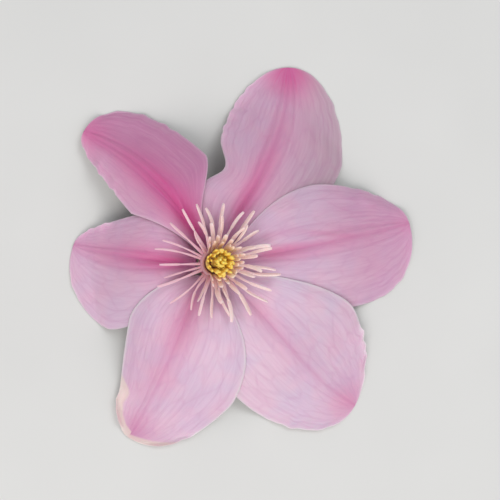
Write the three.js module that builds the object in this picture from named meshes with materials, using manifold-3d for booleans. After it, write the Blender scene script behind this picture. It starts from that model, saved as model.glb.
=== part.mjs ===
// Clematis flower, picked and laid face up on a level surface. Millimetres, +Z up.
// Six broad tepals arch out from a small receptacle like a low parasol and come down on
// their tips. The stalk bends away under them and lies on the surface.
// Azimuths are in degrees, counter-clockwise from +X as seen from above.

import * as THREE from 'three';
import { mergeVertices } from 'three/addons/utils/BufferGeometryUtils.js';
import Module from 'manifold-3d';

const wasm = await Module();
wasm.setup();

const radians = THREE.MathUtils.degToRad;
const { clamp, lerp } = THREE.MathUtils;

// ---------- driving dimensions ----------

const SEAT_GAP = 0.3;

const RECEPTACLE_RADIUS = 4.5;
const RECEPTACLE_TOP = 13.3;
const STALK_DIAMETER = 2.7;
const STALK_REACH = 36;
const STALK_AZIMUTH = -80;
const STALK_SWAY = 2.5;
const STALK_BEND = 13;
const STALK_FLAT = 0.1;
const STALK_CORNER = 0.4;
const STALK_TOP = 7.9;
const STALK_TAPER = 1.15;
const STALK_SIDES = 16;
const STALK_RIBS = 4;
const RIB_SHARE = 0.04;

const CLAW_RADIUS = RECEPTACLE_RADIUS + SEAT_GAP;
const CLAW_HEIGHT = 11.5;

// The receptacle's swelling: rise from the claws' height, and share of its greatest radius.
const SWELLING = [
  [-2.6, 0.46], [-1.6, 0.68], [-0.8, 0.94], [0, 1], [0.9, 0.97], [RECEPTACLE_TOP - CLAW_HEIGHT, 0.9],
];

const CLAW_HALF_WIDTH = 1.7;
const TIP_HALF_WIDTH = 0.5;
const TEPAL_THICKNESS = 0.7;
const LAYER_STEP = 1.35;
const LAYER_START = 0.05;
const LAYER_END = 0.25;
const TEPAL_ROWS = 20;
const TIP_CROWDING = 1.25;
const TEPAL_COLUMNS = 12;

const ROOT_RING_BOTTOM = RECEPTACLE_TOP + SEAT_GAP;
const ROOT_RING_TOP = ROOT_RING_BOTTOM + 1.3;
const ROOT_CHAMFER = 0.3;
const ROOT_HEIGHT = lerp(ROOT_RING_BOTTOM, ROOT_RING_TOP, 0.42);
const OUTER_RING = { inner: 2.9, outer: 4.2, segments: 24 };
const INNER_RING = { inner: 1.5, outer: 2.6, segments: 16 };
const STYLE_DISC = { radius: 1.2, segments: 12 };
const FILAMENT_RADIUS = 0.42;
const ANTHER_RADIUS = 0.58;

// Each tepal has its midrib's azimuth at the claw, half way and at the tip, the plan radius
// of its tip, how high it arches above a plain fall, and how high its tip ends (under half the
// thickness means that the tip lies flat on the surface). ccw and cw are its sides. width is the
// side's greatest half-width and widest the place of it along the midrib, from 0 to 1. claw
// and swell shape the side inside that place, blunt shapes it outside. Layer 1 runs over the
// neighbour's margin and -1 under it. A dent sets the margin in, round a place along the
// midrib and over a length of it either way.
const TEPALS = [
  {
    name: 'tepal_right', azimuths: [9.2, 10.9, 12.5], reach: 59.8, arch: 6, tipHeight: 2,
    ccw: { width: 16.9, widest: 0.52, claw: 0.95, swell: 2.1, blunt: 1.5, layer: 1 },
    cw: { width: 19.3, widest: 0.61, claw: 0.94, swell: 2.1, blunt: 2.6, layer: -1 },
  },
  {
    name: 'tepal_top', azimuths: [67.6, 62.6, 68.4], reach: 62.4, arch: 6, tipHeight: 0.1,
    ccw: {
      width: 14.8, widest: 0.62, claw: 1.1, swell: 6.5, blunt: 2.1, layer: -1,
      dent: { depth: 5.2, place: 0.345, length: 0.1 },
    },
    cw: { width: 21.3, widest: 0.64, claw: 0.98, swell: 1.8, blunt: 1.15, layer: -1 },
  },
  {
    name: 'tepal_upper_left', azimuths: [120.3, 126, 134], reach: 51.6, arch: 6, tipHeight: 3,
    ccw: { width: 10.7, widest: 0.44, claw: 1.2, swell: 1.05, blunt: 1.5, layer: 1 },
    cw: { width: 15.7, widest: 0.42, claw: 3, swell: 1.8, blunt: 3, layer: 1 },
  },
  {
    name: 'tepal_left', azimuths: [180.2, 176, 171.7], reach: 38.6, arch: 5, tipHeight: 0.1,
    ccw: { width: 20.3, widest: 0.58, claw: 1.15, swell: 1.7, blunt: 1.35, layer: -1 },
    cw: { width: 13.3, widest: 0.42, claw: 0.9, swell: 3.2, blunt: 1, layer: -1 },
  },
  {
    name: 'tepal_lower_left', azimuths: [239, 245.4, 244.8], reach: 52.9, arch: 6, tipHeight: 0.1,
    ccw: { width: 21.5, widest: 0.585, claw: 0.9, swell: 2.3, blunt: 1.25, layer: 1 },
    cw: { width: 14.2, widest: 0.36, claw: 1.1, swell: 2.2, blunt: 1, layer: 1 },
  },
  {
    name: 'tepal_lower_right', azimuths: [314.2, 313.1, 317], reach: 57.8, arch: 6, tipHeight: 0.1,
    ccw: { width: 21.7, widest: 0.61, claw: 1.1, swell: 1.7, blunt: 1.6, layer: 1 },
    cw: { width: 20.1, widest: 0.4, claw: 0.98, swell: 2.3, blunt: 2.15, layer: -1 },
  },
];

// Between each tepal and its counter-clockwise neighbour the common surface rises to a ridge
// near the claws, which leaves a groove along each midrib, and sinks to a valley further out.
const RIDGES = [1.8, 1.6, 1.5, 1.8, 2, 2];
const VALLEYS = [2, 4, 2, 4, 1.5, 2];
const RIDGE_RISE = 9;
const RIDGE_RADIUS = 14;
const RIDGE_FALL = 20;
const VALLEY_START = 18;
const VALLEY_RADIUS = 44;
const SECTOR_SHARPNESS = 1.2;

// The free margins outside the overlaps wave up and down.
const WAVE_HEIGHT = 0.7;
const WAVE_COUNT = 4;
const WAVE_START = 0.66;
const WAVE_FADE = 0.1;

// Stamens in whorls, from the outermost in: how many, the arc of azimuths that they fill, the
// radius of their roots, their elevation at the root and at the tip in degrees, and their
// length. The upper outer whorls stand open toward the left.
const OUTER_WHORLS = [
  { count: 26, arc: [0, 360], rootRadius: 3.6, rise: 26, droop: 11, length: 15.2 },
  { count: 15, arc: [-112, 148], rootRadius: 3.5, rise: 52, droop: 38, length: 12.6 },
  { count: 12, arc: [-100, 130], rootRadius: 3.4, rise: 76, droop: 62, length: 10.4 },
];
const INNER_WHORL = {
  count: 15, arc: [0, 360], rootRadius: 2.05, rise: 84, droop: 80, length: 9.6,
};
const STYLES = { count: 9, arc: [0, 360], rootRadius: 0.62, rise: 88, droop: 76, length: 8.4 };
const STYLE_RADIUS = 0.3;
const ROD_SIDES = 5;

// Scatter of the stamens and styles: share of their spacing, degrees, and share of length.
const AZIMUTH_SCATTER = 0.3;
const TILT_SCATTER = 3;
const LENGTH_SCATTER = 0.07;
const INNER_KIND = 3;
const STYLE_KIND = 4;

// ---------- small helpers ----------

function ease(x) {
  const t = clamp(x, 0, 1);
  return t * t * (3 - 2 * t);
}

// A repeatable value from -1 to 1 for the kth piece of a kind.
function scatter(k, kind) {
  const raw = Math.sin(k * 12.9898 + kind * 78.233) * 43758.5453;
  return 2 * (raw - Math.floor(raw)) - 1;
}

function closedGeometry(points, triangles) {
  const geometry = new THREE.BufferGeometry();
  geometry.setAttribute('position', new THREE.Float32BufferAttribute(points.flat(), 3));
  geometry.setIndex(triangles.flat());
  return geometry;
}

// ---------- fusing ----------

function toSolid(geometry) {
  const bare = new THREE.BufferGeometry();
  bare.setAttribute('position', geometry.getAttribute('position'));
  bare.setIndex(geometry.getIndex());
  const merged = mergeVertices(bare, 1e-4);
  return new wasm.Manifold(new wasm.Mesh({
    numProp: 3,
    vertProperties: new Float32Array(merged.getAttribute('position').array),
    triVerts: new Uint32Array(merged.getIndex().array),
  }));
}

function fuse(geometries) {
  const mesh = wasm.Manifold.union(geometries.map(toSolid)).getMesh();
  const fused = new THREE.BufferGeometry();
  fused.setAttribute('position', new THREE.BufferAttribute(mesh.vertProperties, 3));
  fused.setIndex(new THREE.BufferAttribute(mesh.triVerts, 1));
  return fused;
}

// ---------- the common surface of the tepals ----------

function midribAzimuth(tepal, s) {
  const [base, middle, tip] = tepal.azimuths;
  const along = base * (1 - s) * (1 - 2 * s) + 4 * middle * s * (1 - s) + tip * s * (2 * s - 1);
  return radians(along);
}

function alongMidrib(tepal, radius) {
  return clamp((radius - CLAW_RADIUS) / (tepal.reach - CLAW_RADIUS), 0, 1);
}

// Height of a tepal's own arch at a plan radius.
function archHeight(tepal, radius) {
  const s = alongMidrib(tepal, radius);
  const fall = (1 + Math.cos(Math.PI * s ** 1.3)) / 2;
  const swell = Math.max(Math.sin(Math.PI * s), 0) ** 1.5 * (1 - s) ** 0.6;
  return lerp(tepal.tipHeight, CLAW_HEIGHT, fall) + tepal.arch * swell;
}

// Height of the surface that all the tepals share. Each sector between two midribs blends
// the arches of the two tepals and adds its ridge and its valley.
function sharedHeight(x, y) {
  const radius = Math.hypot(x, y);
  const turn = 2 * Math.PI;
  const here = Math.atan2(y, x);
  for (let i = 0; i < TEPALS.length; i += 1) {
    const tepal = TEPALS[i];
    const next = TEPALS[(i + 1) % TEPALS.length];
    const from = midribAzimuth(tepal, alongMidrib(tepal, radius));
    const to = midribAzimuth(next, alongMidrib(next, radius));
    const span = (to - from + turn) % turn;
    const offset = (((here - from) % turn) + turn) % turn;
    if (offset <= span) {
      const u = offset / span;
      const blend = lerp(archHeight(tepal, radius), archHeight(next, radius), ease(u));
      const between = (4 * u * (1 - u)) ** SECTOR_SHARPNESS;
      const fade = 1 - ease((radius - RIDGE_RADIUS) / RIDGE_FALL);
      const ridge = RIDGES[i] * ease((radius - CLAW_RADIUS) / RIDGE_RISE) * fade;
      const sunk = ease((radius - VALLEY_START) / (VALLEY_RADIUS - VALLEY_START));
      const valley = VALLEYS[i] * sunk;
      return blend + between * (ridge - valley);
    }
  }
  return CLAW_HEIGHT;
}

// ---------- tepals ----------

function dentDepth({ depth, place, length }, s) {
  return depth * Math.exp(-(((s - place) / length) ** 2));
}

function halfWidth(side, s) {
  if (s < side.widest) {
    const inside = 1 - (1 - (s / side.widest) ** side.claw) ** side.swell;
    const dent = side.dent ? dentDepth(side.dent, s) : 0;
    return lerp(CLAW_HALF_WIDTH, side.width, inside) - dent;
  }
  const outside = ((s - side.widest) / (1 - side.widest)) ** side.blunt;
  return lerp(TIP_HALF_WIDTH, side.width, Math.sqrt(Math.max(1 - outside, 0)));
}

function midribPoint(tepal, s) {
  const radius = lerp(CLAW_RADIUS, tepal.reach, s);
  const azimuth = midribAzimuth(tepal, s);
  return new THREE.Vector2(radius * Math.cos(azimuth), radius * Math.sin(azimuth));
}

// A point half way through the thickness: s runs from claw to tip, v from -1 on the
// clockwise margin to 1 on the counter-clockwise one.
function tepalPoint(tepal, s, v) {
  const side = v < 0 ? tepal.cw : tepal.ccw;
  const point = midribPoint(tepal, s);
  const along = midribPoint(tepal, s + 0.001).sub(midribPoint(tepal, s - 0.001)).normalize();
  const across = v * halfWidth(side, clamp(s, 0, 1));
  point.add(new THREE.Vector2(-along.y, along.x).multiplyScalar(across));
  const overlap = ease(s / LAYER_START) * ease((1 - s) / LAYER_END);
  const layer = side.layer * LAYER_STEP * v * v * overlap;
  const free = ease((s - WAVE_START) / WAVE_FADE) * ease((1 - s) / WAVE_FADE) * Math.abs(v) ** 3;
  const wave = WAVE_HEIGHT * free * Math.sin(2 * Math.PI * WAVE_COUNT * s);
  const height = sharedHeight(point.x, point.y) + layer + wave;
  return new THREE.Vector3(point.x, point.y, Math.max(height, TEPAL_THICKNESS / 2));
}

function tepalNormal(tepal, s, v) {
  const step = 0.01;
  const alongS = tepalPoint(tepal, Math.min(s + step, 1), v)
    .sub(tepalPoint(tepal, Math.max(s - step, 0), v));
  const alongV = tepalPoint(tepal, s, Math.min(v + step, 1))
    .sub(tepalPoint(tepal, s, Math.max(v - step, -1)));
  return alongS.cross(alongV).normalize();
}

// A tepal is a closed blade: an upper and a lower face on the same grid, split into triangles
// alike, and a rim between them. Its rows crowd together toward the tip.
function tepalGeometry(tepal) {
  const upper = [];
  const lower = [];
  for (let i = 0; i <= TEPAL_ROWS; i += 1) {
    const s = 1 - (1 - i / TEPAL_ROWS) ** TIP_CROWDING;
    for (let j = 0; j <= TEPAL_COLUMNS; j += 1) {
      const v = 2 * j / TEPAL_COLUMNS - 1;
      const point = tepalPoint(tepal, s, v);
      const half = tepalNormal(tepal, s, v).multiplyScalar(TEPAL_THICKNESS / 2);
      upper.push(point.clone().add(half).toArray());
      const [x, y, z] = point.clone().sub(half).toArray();
      lower.push([x, y, Math.max(z, 0)]);
    }
  }
  const width = TEPAL_COLUMNS + 1;
  const at = (i, j) => i * width + j;
  const below = upper.length;
  const triangles = [];
  for (let i = 0; i < TEPAL_ROWS; i += 1) {
    for (let j = 0; j < TEPAL_COLUMNS; j += 1) {
      const corners = [at(i, j), at(i + 1, j), at(i + 1, j + 1), at(i, j + 1)];
      const [a, b, c, d] = corners;
      triangles.push([a, b, c], [a, c, d]);
      triangles.push([below + a, below + c, below + b], [below + a, below + d, below + c]);
    }
  }
  const rim = [];
  for (let i = 0; i < TEPAL_ROWS; i += 1) rim.push(at(i, 0));
  for (let j = 0; j < TEPAL_COLUMNS; j += 1) rim.push(at(TEPAL_ROWS, j));
  for (let i = TEPAL_ROWS; i > 0; i -= 1) rim.push(at(i, TEPAL_COLUMNS));
  for (let j = TEPAL_COLUMNS; j > 0; j -= 1) rim.push(at(0, j));
  rim.forEach((from, k) => {
    const to = rim[(k + 1) % rim.length];
    triangles.push([from, below + from, below + to], [from, below + to, to]);
  });
  return closedGeometry([...upper, ...lower], triangles);
}

// ---------- swept rods ----------

// A closed rod along a path that keeps near one upright plane, whose normal is across. The
// radius may change along the path and around it.
function sweep(path, across, sides, radiusAt) {
  const points = [];
  const triangles = [];
  path.forEach((centre, i) => {
    const before = path[Math.max(i - 1, 0)];
    const after = path[Math.min(i + 1, path.length - 1)];
    const forward = after.clone().sub(before).normalize();
    const sideways = across.clone().addScaledVector(forward, -across.dot(forward)).normalize();
    const upward = new THREE.Vector3().crossVectors(forward, sideways);
    for (let k = 0; k < sides; k += 1) {
      const angle = 2 * Math.PI * k / sides;
      const radius = radiusAt(i, angle);
      const point = centre.clone()
        .addScaledVector(sideways, radius * Math.cos(angle))
        .addScaledVector(upward, radius * Math.sin(angle));
      points.push([point.x, point.y, Math.max(point.z, 0)]);
    }
  });
  const ring = (i, k) => i * sides + (k % sides);
  for (let i = 0; i < path.length - 1; i += 1) {
    for (let k = 0; k < sides; k += 1) {
      triangles.push([ring(i, k), ring(i, k + 1), ring(i + 1, k + 1)]);
      triangles.push([ring(i, k), ring(i + 1, k + 1), ring(i + 1, k)]);
    }
  }
  const last = path.length - 1;
  for (let k = 1; k < sides - 1; k += 1) {
    triangles.push([ring(0, 0), ring(0, k + 1), ring(0, k)]);
    triangles.push([ring(last, 0), ring(last, k), ring(last, k + 1)]);
  }
  return closedGeometry(points, triangles);
}

// ---------- stalk and receptacle ----------

// The stalk lies on the surface, bends up under the flower and swells into the receptacle.
// Its underside is flat where it lies.
function stalkGeometry() {
  const outward = new THREE.Vector3(1, 0, 0).applyAxisAngle(
    new THREE.Vector3(0, 0, 1),
    radians(STALK_AZIMUTH),
  );
  const across = new THREE.Vector3(outward.y, -outward.x, 0);
  const lie = STALK_DIAMETER / 2 - STALK_FLAT;
  const place = (along, aside, height) => outward.clone()
    .multiplyScalar(along)
    .addScaledVector(across, aside)
    .setZ(height);

  const path = [];
  const radii = [];
  const lyingSteps = 6;
  for (let i = 0; i < lyingSteps; i += 1) {
    const t = i / lyingSteps;
    path.push(place(lerp(STALK_REACH, STALK_BEND, t), STALK_SWAY * (1 - t) ** 2, lie));
    radii.push(STALK_DIAMETER / 2);
  }
  const bend = new THREE.QuadraticBezierCurve3(
    place(STALK_BEND, 0, lie),
    place(STALK_CORNER, 0, lie),
    place(0, 0, STALK_TOP),
  );
  const bendSteps = 8;
  for (let i = 0; i <= bendSteps; i += 1) {
    path.push(bend.getPoint(i / bendSteps));
    radii.push(STALK_DIAMETER / 2 * lerp(1, STALK_TAPER, i / bendSteps));
  }
  for (const [rise, share] of SWELLING) {
    path.push(place(0, 0, CLAW_HEIGHT + rise));
    radii.push(RECEPTACLE_RADIUS * share);
  }
  const ribbed = (i, angle) => {
    const share = i < lyingSteps + bendSteps ? RIB_SHARE : 0;
    return radii[i] * (1 + share * Math.cos(STALK_RIBS * angle));
  };
  return sweep(path, across, STALK_SIDES, ribbed);
}

// ---------- stamens and styles ----------

// Stations along a stamen, from root to tip: share of its length and radius.
const STAMEN_STATIONS = [
  [0, FILAMENT_RADIUS],
  [0.5, FILAMENT_RADIUS],
  [0.66, ANTHER_RADIUS],
  [0.9, ANTHER_RADIUS * 0.9],
  [1, ANTHER_RADIUS * 0.45],
];
const STYLE_STATIONS = [
  [0, STYLE_RADIUS],
  [0.5, STYLE_RADIUS],
  [1, STYLE_RADIUS * 0.8],
];

// One whorl of rods. Each starts inside its root ring and bends from its first elevation to
// its last, with a little scatter of place, length and elevation.
function whorl({ count, arc, rootRadius, rise, droop, length }, stations, kind) {
  const rods = [];
  for (let k = 0; k < count; k += 1) {
    const share = (k + AZIMUTH_SCATTER * scatter(k, kind)) / count;
    const azimuth = radians(lerp(arc[0], arc[1], share));
    const outward = new THREE.Vector3(Math.cos(azimuth), Math.sin(azimuth), 0);
    const across = new THREE.Vector3(outward.y, -outward.x, 0);
    const tilt = TILT_SCATTER * scatter(k, kind + 10);
    const reach = length * (1 + LENGTH_SCATTER * scatter(k, kind + 20));
    const point = outward.clone().multiplyScalar(rootRadius).setZ(ROOT_HEIGHT);
    const path = [point.clone()];
    for (let i = 1; i < stations.length; i += 1) {
      const middle = (stations[i][0] + stations[i - 1][0]) / 2;
      const elevation = radians(lerp(rise, droop, middle) + tilt);
      const step = reach * (stations[i][0] - stations[i - 1][0]);
      point.addScaledVector(outward, step * Math.cos(elevation));
      point.z += step * Math.sin(elevation);
      path.push(point.clone());
    }
    rods.push(sweep(path, across, ROD_SIDES, (i) => stations[i][1]));
  }
  return rods;
}

function rootRing({ inner, outer, segments }) {
  const section = [
    new THREE.Vector2(inner, ROOT_RING_BOTTOM),
    new THREE.Vector2(outer, ROOT_RING_BOTTOM),
    new THREE.Vector2(outer, ROOT_RING_TOP - ROOT_CHAMFER),
    new THREE.Vector2(lerp(inner, outer, 0.5), ROOT_RING_TOP),
    new THREE.Vector2(inner, ROOT_RING_TOP - ROOT_CHAMFER),
  ];
  section.push(section[0].clone());
  return new THREE.LatheGeometry(section, segments).rotateX(Math.PI / 2);
}

function rootDisc({ radius, segments }) {
  const section = [
    new THREE.Vector2(0, ROOT_RING_BOTTOM),
    new THREE.Vector2(radius, ROOT_RING_BOTTOM),
    new THREE.Vector2(radius, ROOT_RING_TOP - ROOT_CHAMFER),
    new THREE.Vector2(0, ROOT_RING_TOP),
  ];
  return new THREE.LatheGeometry(section, segments).rotateX(Math.PI / 2);
}

function outerStamens() {
  const rods = OUTER_WHORLS.flatMap((rule, kind) => whorl(rule, STAMEN_STATIONS, kind));
  return fuse([rootRing(OUTER_RING), ...rods]);
}

function innerStamens() {
  return fuse([rootRing(INNER_RING), ...whorl(INNER_WHORL, STAMEN_STATIONS, INNER_KIND)]);
}

function styleTuft() {
  return fuse([rootDisc(STYLE_DISC), ...whorl(STYLES, STYLE_STATIONS, STYLE_KIND)]);
}

// ---------- assembly ----------

function material(color, roughness) {
  return new THREE.MeshStandardMaterial({ color, roughness, metalness: 0 });
}

function addPiece(group, name, geometry, surface) {
  const mesh = new THREE.Mesh(geometry, surface);
  mesh.name = name;
  group.add(mesh);
}

const flower = new THREE.Group();
addPiece(flower, 'stalk', stalkGeometry(), material(0x93a765, 0.6));
for (const tepal of TEPALS) {
  addPiece(flower, tepal.name, tepalGeometry(tepal), material(0xddb6d4, 0.55));
}
addPiece(flower, 'stamens_outer', outerStamens(), material(0xf2d8c0, 0.6));
addPiece(flower, 'stamens_inner', innerStamens(), material(0xe8b93a, 0.6));
addPiece(flower, 'styles', styleTuft(), material(0xc9c06a, 0.6));

// The origin is at the middle of the flower's box in plan, on the surface it lies on.
const box = new THREE.Box3().setFromObject(flower);
const middle = box.getCenter(new THREE.Vector3());
flower.position.set(-middle.x, -middle.y, -box.min.z);

export default flower;
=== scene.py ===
# A picked clematis flower that lies face up on a pale floor.
# Every piece is drawn in millimetres round the flower's own upright axis, with the surface it
# lies on at height 0. It is moved to the frame and turned into metres when its mesh is made.
# Azimuths are in degrees, counter-clockwise from +X as seen from above.

import math

import bpy
import numpy as np
from mathutils import Matrix, Vector


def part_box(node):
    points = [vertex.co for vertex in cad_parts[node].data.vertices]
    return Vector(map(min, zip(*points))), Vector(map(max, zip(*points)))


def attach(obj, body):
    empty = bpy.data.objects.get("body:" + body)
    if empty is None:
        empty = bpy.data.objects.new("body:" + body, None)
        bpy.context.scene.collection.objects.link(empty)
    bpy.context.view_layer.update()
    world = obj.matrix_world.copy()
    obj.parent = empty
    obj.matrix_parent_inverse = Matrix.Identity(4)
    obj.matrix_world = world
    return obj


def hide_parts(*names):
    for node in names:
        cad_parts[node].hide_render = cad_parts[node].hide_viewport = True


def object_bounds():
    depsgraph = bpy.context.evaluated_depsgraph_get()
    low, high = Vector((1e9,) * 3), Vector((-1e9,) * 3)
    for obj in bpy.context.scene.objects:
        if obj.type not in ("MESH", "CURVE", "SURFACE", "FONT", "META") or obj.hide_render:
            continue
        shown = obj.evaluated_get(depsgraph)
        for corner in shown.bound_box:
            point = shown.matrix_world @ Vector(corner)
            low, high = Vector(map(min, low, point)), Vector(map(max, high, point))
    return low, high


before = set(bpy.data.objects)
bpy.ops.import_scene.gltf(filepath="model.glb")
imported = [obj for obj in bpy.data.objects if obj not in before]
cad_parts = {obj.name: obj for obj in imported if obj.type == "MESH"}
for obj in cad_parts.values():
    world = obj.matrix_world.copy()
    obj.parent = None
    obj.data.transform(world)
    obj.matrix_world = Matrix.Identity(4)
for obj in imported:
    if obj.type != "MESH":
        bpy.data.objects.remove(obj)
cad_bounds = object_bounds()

MM = 0.001

# ---------- driving dimensions, as the solids have them ----------

CLAW_RADIUS = 4.8
CLAW_HEIGHT = 11.5
CLAW_HALF_WIDTH = 2.2
DENT_PLACE = 0.345
DENT_LENGTH = 0.1
TIP_HALF_WIDTH = 0.5
LAYER_STEP = 1.35
LAYER_START = 0.05
LAYER_END = 0.25

RECEPTACLE_TOP = 13.3
STALK_DIAMETER = 2.7
STALK_REACH = 36
STALK_AZIMUTH = -80
STALK_SWAY = 2.5
STALK_BEND = 13
STALK_FLAT = 0.1
STALK_CORNER = 0.4
STALK_TOP = 7.9
STALK_TAPER = 1.15

ROOT_BOTTOM = 13.6
ROOT_TOP = 14.9

RIDGES = (1.8, 1.6, 1.5, 1.8, 2, 2)
VALLEYS = (2, 4, 2, 4, 1.5, 2)
RIDGE_RISE = 9
RIDGE_RADIUS = 14
RIDGE_FALL = 20
VALLEY_START = 18
VALLEY_RADIUS = 44
SECTOR_SHARPNESS = 1.2

WAVE_HEIGHT = 0.7
WAVE_COUNT = 4
WAVE_START = 0.66
WAVE_FADE = 0.1

# ---------- what the scene adds ----------

FLOOR_GAP = 0.02

TEPAL_ROWS = 150
TEPAL_COLUMNS = 112
TIP_CROWDING = 1.25
TEPAL_THICKNESS = 0.34
MARGIN_THICKNESS = 0.1
MARGIN_ROUNDING = 0.5
LEAST_THICKNESS = 0.06

# Low swells cross all the blades outside the boss.
SWELL_HEIGHT = 0.28
SWELL_START = 14
SWELL_ONSET = 14

# Free margins have nicks in plan and ripples in height, each the sum of two waves: share of
# the side's ripple, pace along the midrib, and share of the phase that sets tepals apart.
NICKS = ((0.5, 61, 3), (0.35, 104, 1))
RIPPLES = ((0.6, 46, 1), (0.4, 83, 2))
RIPPLE_REACH = 2.6
BULGE_PLACE = 0.86
BULGE_LENGTH = 0.1
PRESS_REACH = 3

# Side veins run a share of the half-width out from the midrib, with a pleat half way to them.
VEIN_SHARE = 0.16
FOLD_WIDTH = 1.5
PLEAT_HEIGHT = 0.22
PLEAT_WIDTH = 0.8
GROOVE_DEPTH = 0.18
GROOVE_WIDTH = 0.55
RIB_HEIGHT = 0.03
RIB_COUNT = 7
MIDRIB_HEIGHT = 0.22
MIDRIB_WIDTH = 0.6
VEIN_HEIGHT = 0.13
VEIN_WIDTH = 0.45
VEIN_FADE = 0.6
VEIN_MARK_WIDTH = 0.5

# The colour along the midrib: a strong core and a weaker glow of so many times its width.
BAR_ROOT_WIDTH = 1.7
BAR_TAPER = 0.55
BAR_CORE = 0.78
BAR_GLOW_WIDTH = 2.6
BAR_FADE = 0.8
FLUSH_START = 0.77
FLUSH_LENGTH = 0.2
FLUSH_WIDTH = 7

# The painted shadow line and painted highlight stripe beside a creased tepal's bar, where a
# ridge catches the light: how far from the midrib the line starts, and each one's strength
# and width.
CREASE_OFFSET = 5.2
CREASE_SHADOW_LINE = (0.13, 0.8)
CREASE_HIGHLIGHT = (0.3, 0.9)

# A hem comes in over a share of the midrib, and its inner edge is soft.
HEM_ONSET = 0.12
HEM_SLIMMEST = 0.8
HEM_SOFTNESS = 0.5

# ---------- the tepals' rules ----------

# width to layer shape a side as in the solids, and a dent of so many millimetres sets its
# margin in. free is where along the midrib a side's overlap with its neighbour ends. Beyond
# it, over a length of onset, the last curl_reach millimetres of the blade turn by curl
# radians, up (positive) or down. ripple is the height of the small waves there, and bulge
# lets the margin out near the tip. press lays the margin of an upper side down on its
# neighbour. tint_and_shade deepens a side's colour, partly as a deeper tint and partly as
# painted shade on the sides that lie away from the light. grey_shade is painted shade that
# greys a side toward its margin. pale whitens its rim, partly as a paler margin and partly
# as a painted highlight where the margin curls up to the light, and from hem_start on the
# last hem millimetres are cream. A tepal's bar, bar_width, bar_reach and bar_start give the
# strength, width and extent of the colour along its midrib, and tip_flush its strength at
# the tip. fold is the depth of the groove along the midrib, claw_shade_and_green paints
# shade over the claw and turns its underside green, far paints shade that deepens the outer
# half, ribbing is how plainly the side veins show, and crease_highlight_and_shadow paints a
# paler stripe as a highlight and a faint shadow line beside the bar, where a ridge catches
# the light.


def side(
    width, widest, claw, swell, blunt, layer,
    free, curl=0.3, curl_reach=3, onset=0.12, ripple=0.3, bulge=0, dent=0, press=0,
    tint_and_shade=0.2, grey_shade=0, pale=0.35, hem=0, hem_start=0.7,
):
    return dict(
        width=width, widest=widest, claw=claw, swell=swell, blunt=blunt, layer=layer,
        free=free, curl=curl, curl_reach=curl_reach, onset=onset, ripple=ripple,
        bulge=bulge, dent=dent, press=press, tint_and_shade=tint_and_shade, grey_shade=grey_shade, pale=pale,
        hem=hem, hem_start=hem_start,
    )


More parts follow.
